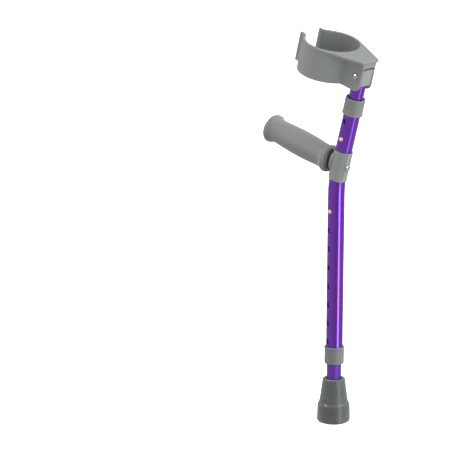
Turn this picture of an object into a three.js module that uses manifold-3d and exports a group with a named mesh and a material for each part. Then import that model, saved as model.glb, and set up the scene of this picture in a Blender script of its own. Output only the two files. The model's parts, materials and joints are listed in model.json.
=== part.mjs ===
// A small forearm crutch: a bent main tube, a sliding leg with a rubber tip, a hand grip on a
// bracket at the bend, and a sliding forearm tube that carries an open cuff on a pivot.
// Millimetres. +Z is up along the leg, +X is the front, where the grip points, and the origin
// is the middle of the tip's underside. The crutch is symmetric about Y = 0, but for its two
// snap buttons and their holes, which are on the +Y side.
import * as THREE from "three";
import { mergeVertices } from "three/addons/utils/BufferGeometryUtils.js";
import Module from "manifold-3d";

// ---------- Sizes ----------

// Tubes
const INNER_TUBE_RADIUS = 9.525; // leg tube and forearm tube
const TUBE_WALL = 1.24;
const SLIDE_GAP = 0.345; // between the main tube's bore and the tubes that slide in it
const LEAN = THREE.MathUtils.degToRad(15.1); // of the upper part, back from upright
const BEND_RADIUS = 140;
const MAIN_TUBE_RADIUS = INNER_TUBE_RADIUS + SLIDE_GAP + TUBE_WALL;
const MAIN_BORE_RADIUS = INNER_TUBE_RADIUS + SLIDE_GAP;
const INNER_BORE_RADIUS = INNER_TUBE_RADIUS - TUBE_WALL;

// Fits
const GAP = 0.3; // between a piece and the neighbour it is cut by or rests on
const PIN_GAP = 0.25; // round a bolt or a pin

// Rubber tip
const TIP_HEIGHT = 59.3;
const TIP_BASE_RADIUS = 22.05;
const TIP_RIM_HEIGHT = 23;
const TIP_RIM_DRAFT = 0.55; // how much narrower the rim is at its top
const TIP_FILLET = 3.5;
const TIP_SHOULDER = 6; // height of the step from the rim to the body
const TIP_WALL = 5.75; // round the leg tube at the tip's mouth
const TIP_TAPER = 3.75; // how much wider the body is at its foot than at its mouth
const TIP_FLOOR = 14; // rubber under the leg tube
const TIP_GROOVE_DEPTH = 1.2;
const TIP_MOUTH_FLARE = 1.7; // of the bore round the leg tube, at the tip's mouth
const TIP_MOUTH_DEPTH = 3.6;
const TIP_WASHER_HEIGHT = 1.5;

// Leg adjustment
const HOLE_PITCH = 25.4;
const LEG_HOLES = 8;
const CUFF_HOLES = 2;
const HOLE_RADIUS = 3.4;
const BUTTON_GAP = 0.35;
const BUTTON_REACH = 2; // how far a button stands out of the main tube
const LEG_HOLE_TURN = THREE.MathUtils.degToRad(9); // the leg's holes sit this far forward of +Y
const LEG_SHOWING = 20.9; // between the tip and the lower collar at the shortest setting
const END_MARGIN = 27.8; // from the main tube's lower end to its last hole
const LEG_TOP_MARGIN = 16.5; // leg tube above its button
const BEND_MARGIN = 4; // from the leg tube's top to the start of the bend
const SPRING_WIDTH = 7;
const SPRING_THICKNESS = 0.7;
const SPRING_LENGTH = 30;

// Collars at the main tube's two ends
const COLLAR_LENGTH = 23.3;
const COLLAR_WALL = 1.65;
const COLLAR_LIP = 3;
const COLLAR_MOUTH_DEPTH = 1.2;
const COLLAR_CHAMFER = 1;
const COLLAR_BEAD = 0.5; // how far the bead at the main tube's end of a collar stands out
const COLLAR_BEAD_HEIGHT = 2.2;

// Grip bracket
const BRACKET_START = 4.7; // along the upper axis from the corner of the bend
const BRACKET_LENGTH = 41.3;
const BRACKET_WALL = 0.95;
const BRACKET_FLAT_HALF_WIDTH = 5;
const PAD_HEIGHT = 29;
const PAD_WIDTH = 18;
const PAD_OUT = 0.8; // the pad's front face beyond the sleeve
const SPACER_HEIGHT = 30.5;
const SPACER_WIDTH = 19.4;
const SPACER_THICKNESS = 3.2;

// Hand grip
const GRIP_RISE = THREE.MathUtils.degToRad(13.8); // of the grip's axis, towards the front
const GRIP_LENGTH = 110.4;
const GRIP_WAIST_RADIUS = 15.9;
const GRIP_BELLY_RADIUS = 17.5;
const GRIP_REAR_RADIUS = 18.7;
const GRIP_FRONT_RADIUS = 19.2;
const GRIP_DOME = 2.4;
const GRIP_END_WALL = 8;
const CORE_RADIUS = 11;
const CORE_SEAT = 20; // solid length of the core behind the nut
const BOLT_RADIUS = 3;
const BOLT_HEAD_RADIUS = 4.3;
const BOLT_HEAD_HEIGHT = 2.2;
const BOLT_SOCKET_RADIUS = 2;
const BOLT_HEAD_GAP = 0.2; // from the head's lowest edge to the bracket's flat
const NUT_FLATS = 10;
const NUT_HEIGHT = 5;
const NUT_ROOM = 0.83; // from the nut's corners to the bore it goes down
const CORE_BORE_RADIUS = NUT_FLATS / Math.sqrt(3) + NUT_ROOM;
const BOLT_TAIL = 3;

// Forearm tube
const SPRING_ROOM = 5.15; // from the grip's bolt up to the end of the cuff button's spring
const CUFF_TUBE_TAIL = 22.6; // forearm tube below its button
const CUFF_COLLAR_MARGIN = 9.5; // from the upper hole to the upper collar
const CUFF_TUBE_SHOWING = 20.7; // forearm tube above the upper collar at the lowest setting

// Cuff and its pivot
const PIVOT_ABOVE_TUBE = 11;
const PIVOT_SWING = THREE.MathUtils.degToRad(10); // either way from square to the forearm tube
const CUFF_TILT = THREE.MathUtils.degToRad(1); // front down, as the cuff stands at rest
const PIVOT_PIN_RADIUS = 3;
const PIVOT_HEAD_RADIUS = 4.25;
const PIVOT_HEAD_HEIGHT = 2.2;
const PIVOT_RECESS_RADIUS = 5.5;
const PIVOT_RECESS_DEPTH = 1;
const PIVOT_BLOCK_TOP = 11.5; // above the pin
const PIVOT_BLOCK_FRONT = 9;
const PIVOT_SPIGOT_LENGTH = 22;
const PIVOT_WASHER_THICKNESS = 0.8;
const CHEEK_THICKNESS = 2.7;
const HINGE_REAR_WALL = 1.3; // how far the hinge stands behind the forearm tube
const CHEEK_CORNER = 8.5;
const CUFF_BELOW_PIVOT = 19;
const CUFF_HEIGHT = 43.8;
const CUFF_WALL = 3;
const CUFF_DEPTH = 68.4; // inside, front to back
const CUFF_WIDTH = 77; // inside, side to side
const CUFF_SETBACK = 13.6; // from the forearm tube to the inside of the cuff
const CUFF_MOUTH = 43.5; // between the arms' ends, before their lips
const LIP_RADIUS = 8.5;
const LIP_CURL = THREE.MathUtils.degToRad(80);
const LIP_START = 4.3; // above the cuff's lower edge
const LIP_RISE = 0.4; // above its upper edge
const FLANGE_THICKNESS = 4.5;
const FLANGE_ROUNDING = 1.5;
const FLANGE_OVERHANG = 2;
const FLANGE_REAR_HALF_WIDTH = 15.8;
const FLANGE_REAR_OVERHANG = 0.9;

// Roundness of the meshes
const TUBE_SIDES = 32;
const HOLE_SIDES = 16;
const GRIP_SIDES = 36;
const CUFF_STEPS = 44;

// ---------- Places that follow from the sizes ----------

// Heights along the leg
const LOWER_COLLAR_BOTTOM = TIP_HEIGHT + LEG_SHOWING;
const MAIN_TUBE_BOTTOM = LOWER_COLLAR_BOTTOM + COLLAR_LIP;
const LEG_BUTTON_Z = MAIN_TUBE_BOTTOM + END_MARGIN + (LEG_HOLES - 1) * HOLE_PITCH;
const LEG_TUBE_TOP = LEG_BUTTON_Z + LEG_TOP_MARGIN;
const BEND_START = LEG_TUBE_TOP + BEND_MARGIN;
const BEND_TANGENT = BEND_RADIUS * Math.tan(LEAN / 2);
const BEND_Z = BEND_START + BEND_TANGENT; // where the two straight axes meet

// Distances along the upper axis from the corner of the bend
const BRACKET_END = BRACKET_START + BRACKET_LENGTH;
const BOLT_S = BRACKET_START + BRACKET_LENGTH / 2;
const SPRING_REACH = BOLT_RADIUS + SPRING_ROOM + SPRING_LENGTH;
const CUFF_HOLE_MARGIN = SPRING_REACH - BRACKET_LENGTH / 2; // from the bracket's top to the lower hole
const CUFF_BUTTON_S = BRACKET_END + CUFF_HOLE_MARGIN;
const CUFF_TUBE_BOTTOM = CUFF_BUTTON_S - CUFF_TUBE_TAIL;
const UPPER_COLLAR_BOTTOM = CUFF_BUTTON_S + (CUFF_HOLES - 1) * HOLE_PITCH + CUFF_COLLAR_MARGIN;
const UPPER_COLLAR_TOP = UPPER_COLLAR_BOTTOM + COLLAR_LENGTH;
const MAIN_TUBE_TOP = UPPER_COLLAR_TOP - COLLAR_LIP;
const CUFF_TUBE_TOP = UPPER_COLLAR_TOP + CUFF_TUBE_SHOWING;
const PIVOT_S = CUFF_TUBE_TOP + PIVOT_ABOVE_TUBE;

// Across the upper axis
const SLEEVE_BORE_RADIUS = MAIN_TUBE_RADIUS + GAP;
const SLEEVE_RADIUS = SLEEVE_BORE_RADIUS + BRACKET_WALL;
const COLLAR_BORE_RADIUS = MAIN_TUBE_RADIUS + GAP;
const COLLAR_RADIUS = COLLAR_BORE_RADIUS + COLLAR_WALL;
const PAD_FACE = SLEEVE_RADIUS + PAD_OUT;
const SPACER_FACE = PAD_FACE + GAP;
const GRIP_REAR = SPACER_FACE + SPACER_THICKNESS + GAP;
const CHEEK_INSIDE = INNER_TUBE_RADIUS + GAP;
const CHEEK_OUTSIDE = CHEEK_INSIDE + CHEEK_THICKNESS;
const HINGE_REAR = INNER_TUBE_RADIUS + HINGE_REAR_WALL;
const CUFF_INNER = new THREE.Vector2(CUFF_DEPTH / 2, CUFF_WIDTH / 2);
const CUFF_OUTER = CUFF_INNER.clone().addScalar(CUFF_WALL);
const CUFF_CENTRE = INNER_TUBE_RADIUS + CUFF_SETBACK + CUFF_INNER.x;

// ---------- Solids ----------

const wasm = await Module();
wasm.setup();

function toSolid(geometry) {
  const bare = geometry.clone();
  bare.deleteAttribute("normal");
  bare.deleteAttribute("uv");
  const merged = mergeVertices(bare, 1e-4);
  return new wasm.Manifold(
    new wasm.Mesh({
      numProp: 3,
      vertProperties: merged.attributes.position.array,
      triVerts: new Uint32Array(merged.index.array),
    }),
  );
}

function toGeometry(solid) {
  const mesh = solid.getMesh();
  const geometry = new THREE.BufferGeometry();
  geometry.setAttribute("position", new THREE.BufferAttribute(mesh.vertProperties, 3));
  geometry.setIndex(new THREE.BufferAttribute(mesh.triVerts, 1));
  geometry.computeVertexNormals();
  return geometry;
}

// A solid of revolution about Z from [radius, height] points, listed anticlockwise.
function turned(points, sides = TUBE_SIDES) {
  const profile = points.map(([radius, height]) => new THREE.Vector2(radius, height));
  const onAxis = profile[0].x === 0 && profile.at(-1).x === 0;
  if (!onAxis) profile.push(profile[0].clone());
  return toSolid(new THREE.LatheGeometry(profile, sides).rotateX(Math.PI / 2));
}

function rod(radius, bottom, top, sides = TUBE_SIDES) {
  return turned([[0, bottom], [radius, bottom], [radius, top], [0, top]], sides);
}

// A solid round X instead of Z, with Z's positive end towards +X.
function alongX(solid) {
  return solid.rotate([0, 90, 0]);
}

// A solid round Y instead of Z, with Z's positive end towards +Y.
function alongY(solid) {
  return solid.rotate([-90, 0, 0]);
}

function box(x0, x1, y0, y1, z0, z1) {
  const geometry = new THREE.BoxGeometry(x1 - x0, y1 - y0, z1 - z0);
  return toSolid(geometry.translate((x0 + x1) / 2, (y0 + y1) / 2, (z0 + z1) / 2));
}

// A flat shape in X and Y, raised along Z from bottom to top, with rounded edges if asked.
function raised(shape, bottom, top, rounding = 0) {
  const geometry = new THREE.ExtrudeGeometry(shape, {
    depth: top - bottom - 2 * rounding,
    curveSegments: 12,
    bevelEnabled: rounding > 0,
    bevelThickness: rounding,
    bevelSize: rounding,
    bevelOffset: -rounding,
    bevelSegments: 3,
  });
  return toSolid(geometry.translate(0, 0, bottom + rounding));
}

// A rectangle with round corners in X and Y.
function roundedRectangle(x0, x1, y0, y1, radius) {
  const shape = new THREE.Shape();
  shape.absarc(x1 - radius, y0 + radius, radius, -Math.PI / 2, 0);
  shape.absarc(x1 - radius, y1 - radius, radius, 0, Math.PI / 2);
  shape.absarc(x0 + radius, y1 - radius, radius, Math.PI / 2, Math.PI);
  shape.absarc(x0 + radius, y0 + radius, radius, Math.PI, 1.5 * Math.PI);
  return shape;
}

// The outline of a strip of even thickness that follows a line of points.
function ribbon(points, thickness) {
  const left = [];
  const right = [];
  points.forEach((point, i) => {
    const before = points[Math.max(i - 1, 0)];
    const after = points[Math.min(i + 1, points.length - 1)];
    const ahead = after.clone().sub(before).normalize();
    const side = new THREE.Vector2(-ahead.y, ahead.x).multiplyScalar(thickness / 2);
    left.push(point.clone().add(side));
    right.push(point.clone().sub(side));
  });
  return new THREE.Shape([...right, ...left.reverse()]);
}

// ---------- The main tube's path ----------

// A path through listed stations, each a place and a direction, with one step per station.
class StationPath extends THREE.Curve {
  constructor(stations) {
    super();
    this.stations = stations;
  }
  station(u) {
    return this.stations[Math.round(u * (this.stations.length - 1))];
  }
  getPointAt(u, target = new THREE.Vector3()) {
    return target.copy(this.station(u).place);
  }
  getTangentAt(u, target = new THREE.Vector3()) {
    return target.copy(this.station(u).direction);
  }
}

// Upright to the bend, round it, and on along the leaning axis. Both ends are distances: the
// height of the first and the distance of the last from the corner of the bend.
function tubePath(bottom, top, bendSteps = 6) {
  const upright = new THREE.Vector3(0, 0, 1);
  const leaning = new THREE.Vector3(-Math.sin(LEAN), 0, Math.cos(LEAN));
  const stations = [{ place: new THREE.Vector3(0, 0, bottom), direction: upright }];
  for (let i = 0; i <= bendSteps; i += 1) {
    const turn = (LEAN * i) / bendSteps;
    stations.push({
      place: new THREE.Vector3(
        BEND_RADIUS * (Math.cos(turn) - 1),
        0,
        BEND_START + BEND_RADIUS * Math.sin(turn),
      ),
      direction: new THREE.Vector3(-Math.sin(turn), 0, Math.cos(turn)),
    });
  }
  const corner = new THREE.Vector3(0, 0, BEND_Z);
  stations.push({ place: corner.addScaledVector(leaning, top), direction: leaning });
  return new StationPath(stations);
}

function bentRod(radius, bottom, top) {
  const path = tubePath(bottom, top);
  const circle = new THREE.Shape().absarc(0, 0, radius, 0, 2 * Math.PI);
  return toSolid(
    new THREE.ExtrudeGeometry(circle, {
      extrudePath: path,
      steps: path.stations.length - 1,
      curveSegments: TUBE_SIDES / 2,
    }),
  );
}

// Frames: the upper one has its origin at the corner of the bend and Z along the upper axis,
// and the grip's has its origin on that axis at the bolt and X along the grip.
const upperFrame = new THREE.Matrix4()
  .makeRotationY(-LEAN)
  .setPosition(0, 0, BEND_Z);
const gripInUpper = new THREE.Matrix4()
  .makeRotationY(LEAN - GRIP_RISE)
  .setPosition(0, 0, BOLT_S);
const gripFrame = upperFrame.clone().multiply(gripInUpper);

function moved(solid, matrix) {
  return solid.transform(matrix.elements);
}

function turnedAboutZ(solid, angle) {
  return solid.rotate([0, 0, THREE.MathUtils.radToDeg(angle)]);
}

// The holes' directions, as turns about Z from +X.
const LEG_BUTTON_TURN = Math.PI / 2 - LEG_HOLE_TURN;
const CUFF_BUTTON_TURN = Math.PI / 2;

// A cutter for a button's hole: a rod from the axis outwards, at a height and a turn.
function buttonHole(height, turn) {
  const cutter = alongX(rod(HOLE_RADIUS, 0, 2 * MAIN_TUBE_RADIUS, HOLE_SIDES));
  return turnedAboutZ(cutter, turn).translate([0, 0, height]);
}

// ---------- Leg ----------

function rubberTip() {
  const mouth = INNER_TUBE_RADIUS + TIP_WALL;
  const foot = mouth + TIP_TAPER;
  const base = TIP_BASE_RADIUS;
  const bore = INNER_TUBE_RADIUS + GAP;
  const points = [[0, 0]];
  for (const inner of [base * 0.5, base * 0.72]) {
    const width = base * 0.09;
    points.push([inner, 0], [inner + width * 0.3, TIP_GROOVE_DEPTH]);
    points.push([inner + width * 0.7, TIP_GROOVE_DEPTH], [inner + width, 0]);
  }
  for (let i = 0; i <= 4; i += 1) {
    const turn = (Math.PI / 2) * (i / 4);
    points.push([
      base - TIP_FILLET + TIP_FILLET * Math.sin(turn),
      TIP_FILLET - TIP_FILLET * Math.cos(turn),
    ]);
  }
  const rim = base - TIP_RIM_DRAFT;
  const step = rim - foot;
  for (let i = 0; i <= 5; i += 1) {
    const share = i / 5;
    const blend = (1 - Math.cos(Math.PI * share)) / 2;
    points.push([rim - step * blend, TIP_RIM_HEIGHT + TIP_SHOULDER * share]);
  }
  const rounding = TIP_WALL * 0.35;
  points.push([mouth, TIP_HEIGHT - rounding]);
  points.push([mouth - rounding * 0.3, TIP_HEIGHT - rounding * 0.3]);
  points.push([mouth - rounding, TIP_HEIGHT], [bore + TIP_MOUTH_FLARE, TIP_HEIGHT]);
  points.push([bore, TIP_HEIGHT - TIP_MOUTH_DEPTH], [bore, TIP_FLOOR], [0, TIP_FLOOR]);
  return turned(points, 40);
}

function tipWasher() {
  const bottom = TIP_FLOOR + GAP;
  return turned([
    [INNER_BORE_RADIUS / 2, bottom],
    [INNER_TUBE_RADIUS, bottom],
    [INNER_TUBE_RADIUS, bottom + TIP_WASHER_HEIGHT],
    [INNER_BORE_RADIUS / 2, bottom + TIP_WASHER_HEIGHT],
  ]);
}

function innerTube(bottom, top, buttonHeight, turn) {
  const wall = turned([
    [INNER_BORE_RADIUS, bottom],
    [INNER_TUBE_RADIUS, bottom],
    [INNER_TUBE_RADIUS, top],
    [INNER_BORE_RADIUS, top],
  ]);
  return wall.subtract(buttonHole(buttonHeight, turn));
}

const legTube = () =>
  innerTube(
    TIP_FLOOR + TIP_WASHER_HEIGHT + 2 * GAP,
    LEG_TUBE_TOP,
    LEG_BUTTON_Z,
    LEG_BUTTON_TURN,
  );

// A snap button about its own height, pointing to +X: a peg with a domed end, which stands on
// the spring's strip inside the tube.
function snapButton() {
  const radius = HOLE_RADIUS - BUTTON_GAP;
  const inside = INNER_BORE_RADIUS - SPRING_THICKNESS - GAP;
  const outside = MAIN_TUBE_RADIUS + BUTTON_REACH;
  const points = [[0, inside], [radius, inside]];
  for (let i = 0; i <= 4; i += 1) {
    const turn = (Math.PI / 2) * (i / 4);
    points.push([radius * Math.cos(turn), outside - BUTTON_REACH * (1 - Math.sin(turn))]);
  }
  points.at(-1)[0] = 0;
  return alongX(turned(points, HOLE_SIDES));
}

// The V-shaped leaf spring about its button's height. One arm carries the button at +X and the
// other bears on the far side of the bore.
function snapSpring() {
  const arm = INNER_BORE_RADIUS - SPRING_THICKNESS - 2 * GAP - SPRING_THICKNESS / 2;
  const back = Math.sqrt(INNER_BORE_RADIUS ** 2 - (SPRING_WIDTH / 2) ** 2) - GAP;
  const line = [new THREE.Vector2(arm, 6), new THREE.Vector2(arm, -6)];
  const bend = new THREE.CubicBezierCurve(
    new THREE.Vector2(arm, -6),
    new THREE.Vector2(arm - 1, -SPRING_LENGTH * 0.6),
    new THREE.Vector2(arm - 3, -SPRING_LENGTH),
    new THREE.Vector2(0, -SPRING_LENGTH),
  );
  const rise = new THREE.CubicBezierCurve(
    new THREE.Vector2(0, -SPRING_LENGTH),
    new THREE.Vector2(-back + 3, -SPRING_LENGTH),
    new THREE.Vector2(-back + 2, -SPRING_LENGTH * 0.6),
    new THREE.Vector2(-back + SPRING_THICKNESS, 0),
  );
  line.push(...bend.getPoints(7).slice(1), ...rise.getPoints(7).slice(1));
  const strip = raised(ribbon(line, SPRING_THICKNESS), -SPRING_WIDTH / 2, SPRING_WIDTH / 2);
  return strip.rotate([90, 0, 0]);
}

// ---------- Main tube and what is fixed to it ----------

function mainTube() {
  const outside = bentRod(MAIN_TUBE_RADIUS, MAIN_TUBE_BOTTOM, MAIN_TUBE_TOP);
  let tube = outside.subtract(bentRod(MAIN_BORE_RADIUS, MAIN_TUBE_BOTTOM - 1, MAIN_TUBE_TOP + 1));
  for (let i = 0; i < LEG_HOLES; i += 1) {
    tube = tube.subtract(buttonHole(LEG_BUTTON_Z - i * HOLE_PITCH, LEG_BUTTON_TURN));
  }
  for (let i = 0; i < CUFF_HOLES; i += 1) {
    const hole = buttonHole(CUFF_BUTTON_S + i * HOLE_PITCH, CUFF_BUTTON_TURN);
    tube = tube.subtract(moved(hole, upperFrame));
  }
  return tube.subtract(moved(boltHole(), gripFrame));
}

// A cutter for the grip's bolt in the grip's own frame.
function boltHole() {
  const reach = GRIP_REAR + CORE_SEAT;
  return alongX(rod(BOLT_RADIUS + PIN_GAP, -reach, reach, HOLE_SIDES));
}

// A collar that covers the main tube's end with its lip at the bottom: the bore fits the main
// tube, and the lip closes in on the sliding tube, with a shallow open mouth round it. A bead
// runs round its top.
function collar() {
  const lipBore = INNER_TUBE_RADIUS + GAP;
  const mouth = COLLAR_BORE_RADIUS - COLLAR_WALL * 0.4;
  const length = COLLAR_LENGTH;
  return turned([
    [mouth, 0],
    [COLLAR_RADIUS - COLLAR_CHAMFER, 0],
    [COLLAR_RADIUS - COLLAR_CHAMFER * 0.3, COLLAR_CHAMFER * 0.4],
    [COLLAR_RADIUS, COLLAR_CHAMFER * 1.4],
    [COLLAR_RADIUS, length - COLLAR_BEAD_HEIGHT - COLLAR_BEAD],
    [COLLAR_RADIUS + COLLAR_BEAD, length - COLLAR_BEAD_HEIGHT],
    [COLLAR_RADIUS + COLLAR_BEAD, length - 0.5],
    [COLLAR_RADIUS + COLLAR_BEAD - 0.5, length],
    [COLLAR_BORE_RADIUS, length],
    [COLLAR_BORE_RADIUS, COLLAR_LIP - GAP],
    [lipBore, COLLAR_LIP - GAP],
    [lipBore, COLLAR_MOUTH_DEPTH],
    [mouth, COLLAR_MOUTH_DEPTH],
  ]);
}

const lowerCollar = () => collar().translate([0, 0, LOWER_COLLAR_BOTTOM]);
const upperCollar = () => collar().rotate([180, 0, 0]).translate([0, 0, UPPER_COLLAR_TOP]);

// The grip bracket: a sleeve that follows the tube round the bend, with a flat behind for the
// bolt's head and a pad in front for the grip.
function gripBracket() {
  const reach = 3 * MAIN_TUBE_RADIUS;
  const slab = box(-reach, reach, -reach, reach, BRACKET_START, BRACKET_END);
  const sleeve = bentRod(SLEEVE_RADIUS, MAIN_TUBE_BOTTOM, MAIN_TUBE_TOP);
  const half = BRACKET_FLAT_HALF_WIDTH;
  const rear = box(-SLEEVE_RADIUS, 0, -half, half, BRACKET_START, BRACKET_END);
  const pad = new THREE.Shape();
  pad.absellipse(0, 0, PAD_HEIGHT / 2, PAD_WIDTH / 2, 0, 2 * Math.PI);
  return sleeve
    .intersect(moved(slab, upperFrame))
    .add(moved(rear, upperFrame))
    .add(moved(alongX(raised(pad, 0, PAD_FACE)), gripFrame))
    .subtract(bentRod(SLEEVE_BORE_RADIUS, MAIN_TUBE_BOTTOM - 1, MAIN_TUBE_TOP + 1))
    .subtract(moved(boltHole(), gripFrame));
}

// Everything from here to the bolt is in the grip's frame.
function gripSpacer() {
  const shape = new THREE.Shape();
  shape.absellipse(0, 0, SPACER_HEIGHT / 2, SPACER_WIDTH / 2, 0, 2 * Math.PI);
  const spacer = alongX(raised(shape, SPACER_FACE, SPACER_FACE + SPACER_THICKNESS));
  return spacer.subtract(boltHole());
}

function gripCore() {
  const front = GRIP_REAR + GRIP_LENGTH - GRIP_END_WALL - GAP;
  const seat = GRIP_REAR + CORE_SEAT;
  return alongX(
    turned(
      [
        [BOLT_RADIUS + PIN_GAP, GRIP_REAR],
        [CORE_RADIUS, GRIP_REAR],
        [CORE_RADIUS, front],
        [CORE_BORE_RADIUS, front],
        [CORE_BORE_RADIUS, seat],
        [BOLT_RADIUS + PIN_GAP, seat],
      ],
      24,
    ),
  );
}

// The grip's outer line from its rear face: a rounded flange, a waist, a full middle, a second
// waist, and a flared front end with a slight dome.
function gripLine() {
  const stops = [
    [0, GRIP_REAR_RADIUS - 2.4],
    [1, GRIP_REAR_RADIUS - 0.8],
    [3.2, GRIP_REAR_RADIUS],
    [5.6, GRIP_REAR_RADIUS - 0.7],
    [8.6, GRIP_WAIST_RADIUS + 0.5],
    [12, GRIP_WAIST_RADIUS],
    [30, (GRIP_WAIST_RADIUS + GRIP_BELLY_RADIUS) / 2 + 0.3],
    [GRIP_LENGTH / 2 - 6, GRIP_BELLY_RADIUS],
    [GRIP_LENGTH - 36, (GRIP_WAIST_RADIUS + GRIP_BELLY_RADIUS) / 2 + 0.2],
    [GRIP_LENGTH - 19, GRIP_WAIST_RADIUS],
    [GRIP_LENGTH - 13, GRIP_WAIST_RADIUS + 0.6],
    [GRIP_LENGTH - 8.5, GRIP_FRONT_RADIUS - 1],
    [GRIP_LENGTH - 5.2, GRIP_FRONT_RADIUS],
    [GRIP_LENGTH - GRIP_DOME - 0.6, GRIP_FRONT_RADIUS - 0.8],
    [GRIP_LENGTH - GRIP_DOME / 2, GRIP_FRONT_RADIUS - 4],
    [GRIP_LENGTH, 0],
  ];
  const curve = new THREE.SplineCurve(stops.map(([x, radius]) => new THREE.Vector2(x, radius)));
  return curve.getPoints(2 * (stops.length - 1)).map((point) => [Math.max(point.y, 0), point.x]);
}

function handGrip() {
  const bore = CORE_RADIUS + GAP;
  const outside = gripLine();
  outside.at(-1)[0] = 0;
  const depth = GRIP_LENGTH - GRIP_END_WALL;
  const profile = [[0, depth], [bore, depth], [bore, 0], ...outside];
  return alongX(turned(profile, GRIP_SIDES)).translate([GRIP_REAR, 0, 0]);
}

// The bolt, head first from behind, with a six-sided socket. Its head stands off the bracket's
// flat by as much as the bolt is out of square to it.
function gripBolt() {
  const tilt = BOLT_HEAD_RADIUS * Math.abs(Math.sin(LEAN - GRIP_RISE));
  const seat = -(SLEEVE_RADIUS + BOLT_HEAD_GAP + tilt);
  const head = seat - BOLT_HEAD_HEIGHT;
  const tail = GRIP_REAR + CORE_SEAT + GAP + NUT_HEIGHT + BOLT_TAIL;
  const shank = rod(BOLT_RADIUS, seat - 0.5, tail, HOLE_SIDES);
  const cap = turned(
    [
      [0, head],
      [BOLT_HEAD_RADIUS * 0.6, head],
      [BOLT_HEAD_RADIUS * 0.88, head + BOLT_HEAD_HEIGHT * 0.3],
      [BOLT_HEAD_RADIUS, head + BOLT_HEAD_HEIGHT * 0.75],
      [BOLT_HEAD_RADIUS, seat],
      [0, seat],
    ],
    HOLE_SIDES + 8,
  );
  const socket = rod(BOLT_SOCKET_RADIUS, head - 1, head + BOLT_HEAD_HEIGHT * 0.7, 6);
  return alongX(cap.add(shank).subtract(socket));
}

function gripNut() {
  const rear = GRIP_REAR + CORE_SEAT + GAP;
  const hex = rod(NUT_FLATS / Math.sqrt(3), rear, rear + NUT_HEIGHT, 6);
  const hole = rod(BOLT_RADIUS + PIN_GAP, rear - 1, rear + NUT_HEIGHT + 1, HOLE_SIDES);
  return alongX(hex.subtract(hole));
}

// ---------- Forearm tube and pivot, in the upper frame ----------

const cuffTube = () =>
  innerTube(CUFF_TUBE_BOTTOM, CUFF_TUBE_TOP, CUFF_BUTTON_S, CUFF_BUTTON_TURN);

// The block in the forearm tube's top: a round spigot in the bore and a flat-sided head that
// the cuff's cheeks stand astride, with a cross hole for the pin.
function pivotBlock() {
  const spigot = rod(
    INNER_BORE_RADIUS - GAP,
    CUFF_TUBE_TOP - PIVOT_SPIGOT_LENGTH,
    CUFF_TUBE_TOP + 2,
  );
  const half = INNER_TUBE_RADIUS - GAP / 2;
  const shape = roundedRectangle(-HINGE_REAR + GAP, PIVOT_BLOCK_FRONT, -half, half, 1);
  const head = raised(shape, CUFF_TUBE_TOP + GAP, PIVOT_S + PIVOT_BLOCK_TOP);
  const pinHole = alongY(rod(PIVOT_PIN_RADIUS + PIN_GAP, -2 * half, 2 * half, HOLE_SIDES));
  return spigot.add(head).subtract(pinHole.translate([0, 0, PIVOT_S]));
}

// The pin through both cheeks, about its own middle: a domed head at +Y and a flatter one,
// closed over a washer, at -Y.
function pivotPin() {
  const seat = CHEEK_OUTSIDE - PIVOT_RECESS_DEPTH + GAP;
  const farSeat = seat + PIVOT_WASHER_THICKNESS + GAP;
  const head = PIVOT_HEAD_RADIUS;
  const farEnd = -farSeat - PIVOT_HEAD_HEIGHT * 0.6;
  const points = [[0, farEnd], [head * 0.6, farEnd]];
  points.push([head * 0.85, -farSeat - PIVOT_HEAD_HEIGHT * 0.2], [head * 0.85, -farSeat]);
  points.push([PIVOT_PIN_RADIUS, -farSeat], [PIVOT_PIN_RADIUS, seat], [head, seat]);
  for (let i = 0; i <= 4; i += 1) {
    const turn = (Math.PI / 2) * (i / 4);
    points.push([
      head * Math.cos(turn),
      seat + PIVOT_HEAD_HEIGHT * 0.25 + PIVOT_HEAD_HEIGHT * 0.75 * Math.sin(turn),
    ]);
  }
  points.at(-1)[0] = 0;
  return alongY(turned(points, 24));
}

function pivotWasher() {
  const seat = CHEEK_OUTSIDE - PIVOT_RECESS_DEPTH + GAP;
  const bore = PIVOT_PIN_RADIUS + PIN_GAP;
  const rim = PIVOT_RECESS_RADIUS - GAP;
  return alongY(
    turned(
      [
        [bore, -seat - PIVOT_WASHER_THICKNESS],
        [rim, -seat - PIVOT_WASHER_THICKNESS],
        [rim, -seat],
        [bore, -seat],
      ],
      24,
    ),
  );
}

// ---------- Cuff, about the pin: X to the front, Z along the forearm tube ----------

function ellipsePoint(radii, turn, shift = 0) {
  return new THREE.Vector2(
    CUFF_CENTRE + shift + radii.x * Math.cos(turn),
    radii.y * Math.sin(turn),
  );
}

// The arms' middle line from one end round the back to the other, without the lips.
function armLine() {
  const middle = CUFF_INNER.clone().addScalar(CUFF_WALL / 2);
  const end = Math.asin(CUFF_MOUTH / 2 / middle.y);
  const line = [];
  for (let i = 0; i <= CUFF_STEPS; i += 1) {
    line.push(ellipsePoint(middle, end + (2 * (Math.PI - end) * i) / CUFF_STEPS));
  }
  return line;
}

// The lip's middle line at the +Y arm: it goes on from the arm's end and curls outwards.
function lipLine() {
  const [end, before] = armLine();
  const heading = end.clone().sub(before).normalize();
  const outward = new THREE.Vector2(-heading.y, heading.x);
  if (outward.x < 0) outward.negate();
  const centre = end.clone().addScaledVector(outward, LIP_RADIUS);
  const line = [before, end];
  for (let i = 1; i <= 8; i += 1) {
    line.push(end.clone().rotateAround(centre, (LIP_CURL * i) / 8));
  }
  return line;
}

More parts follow.
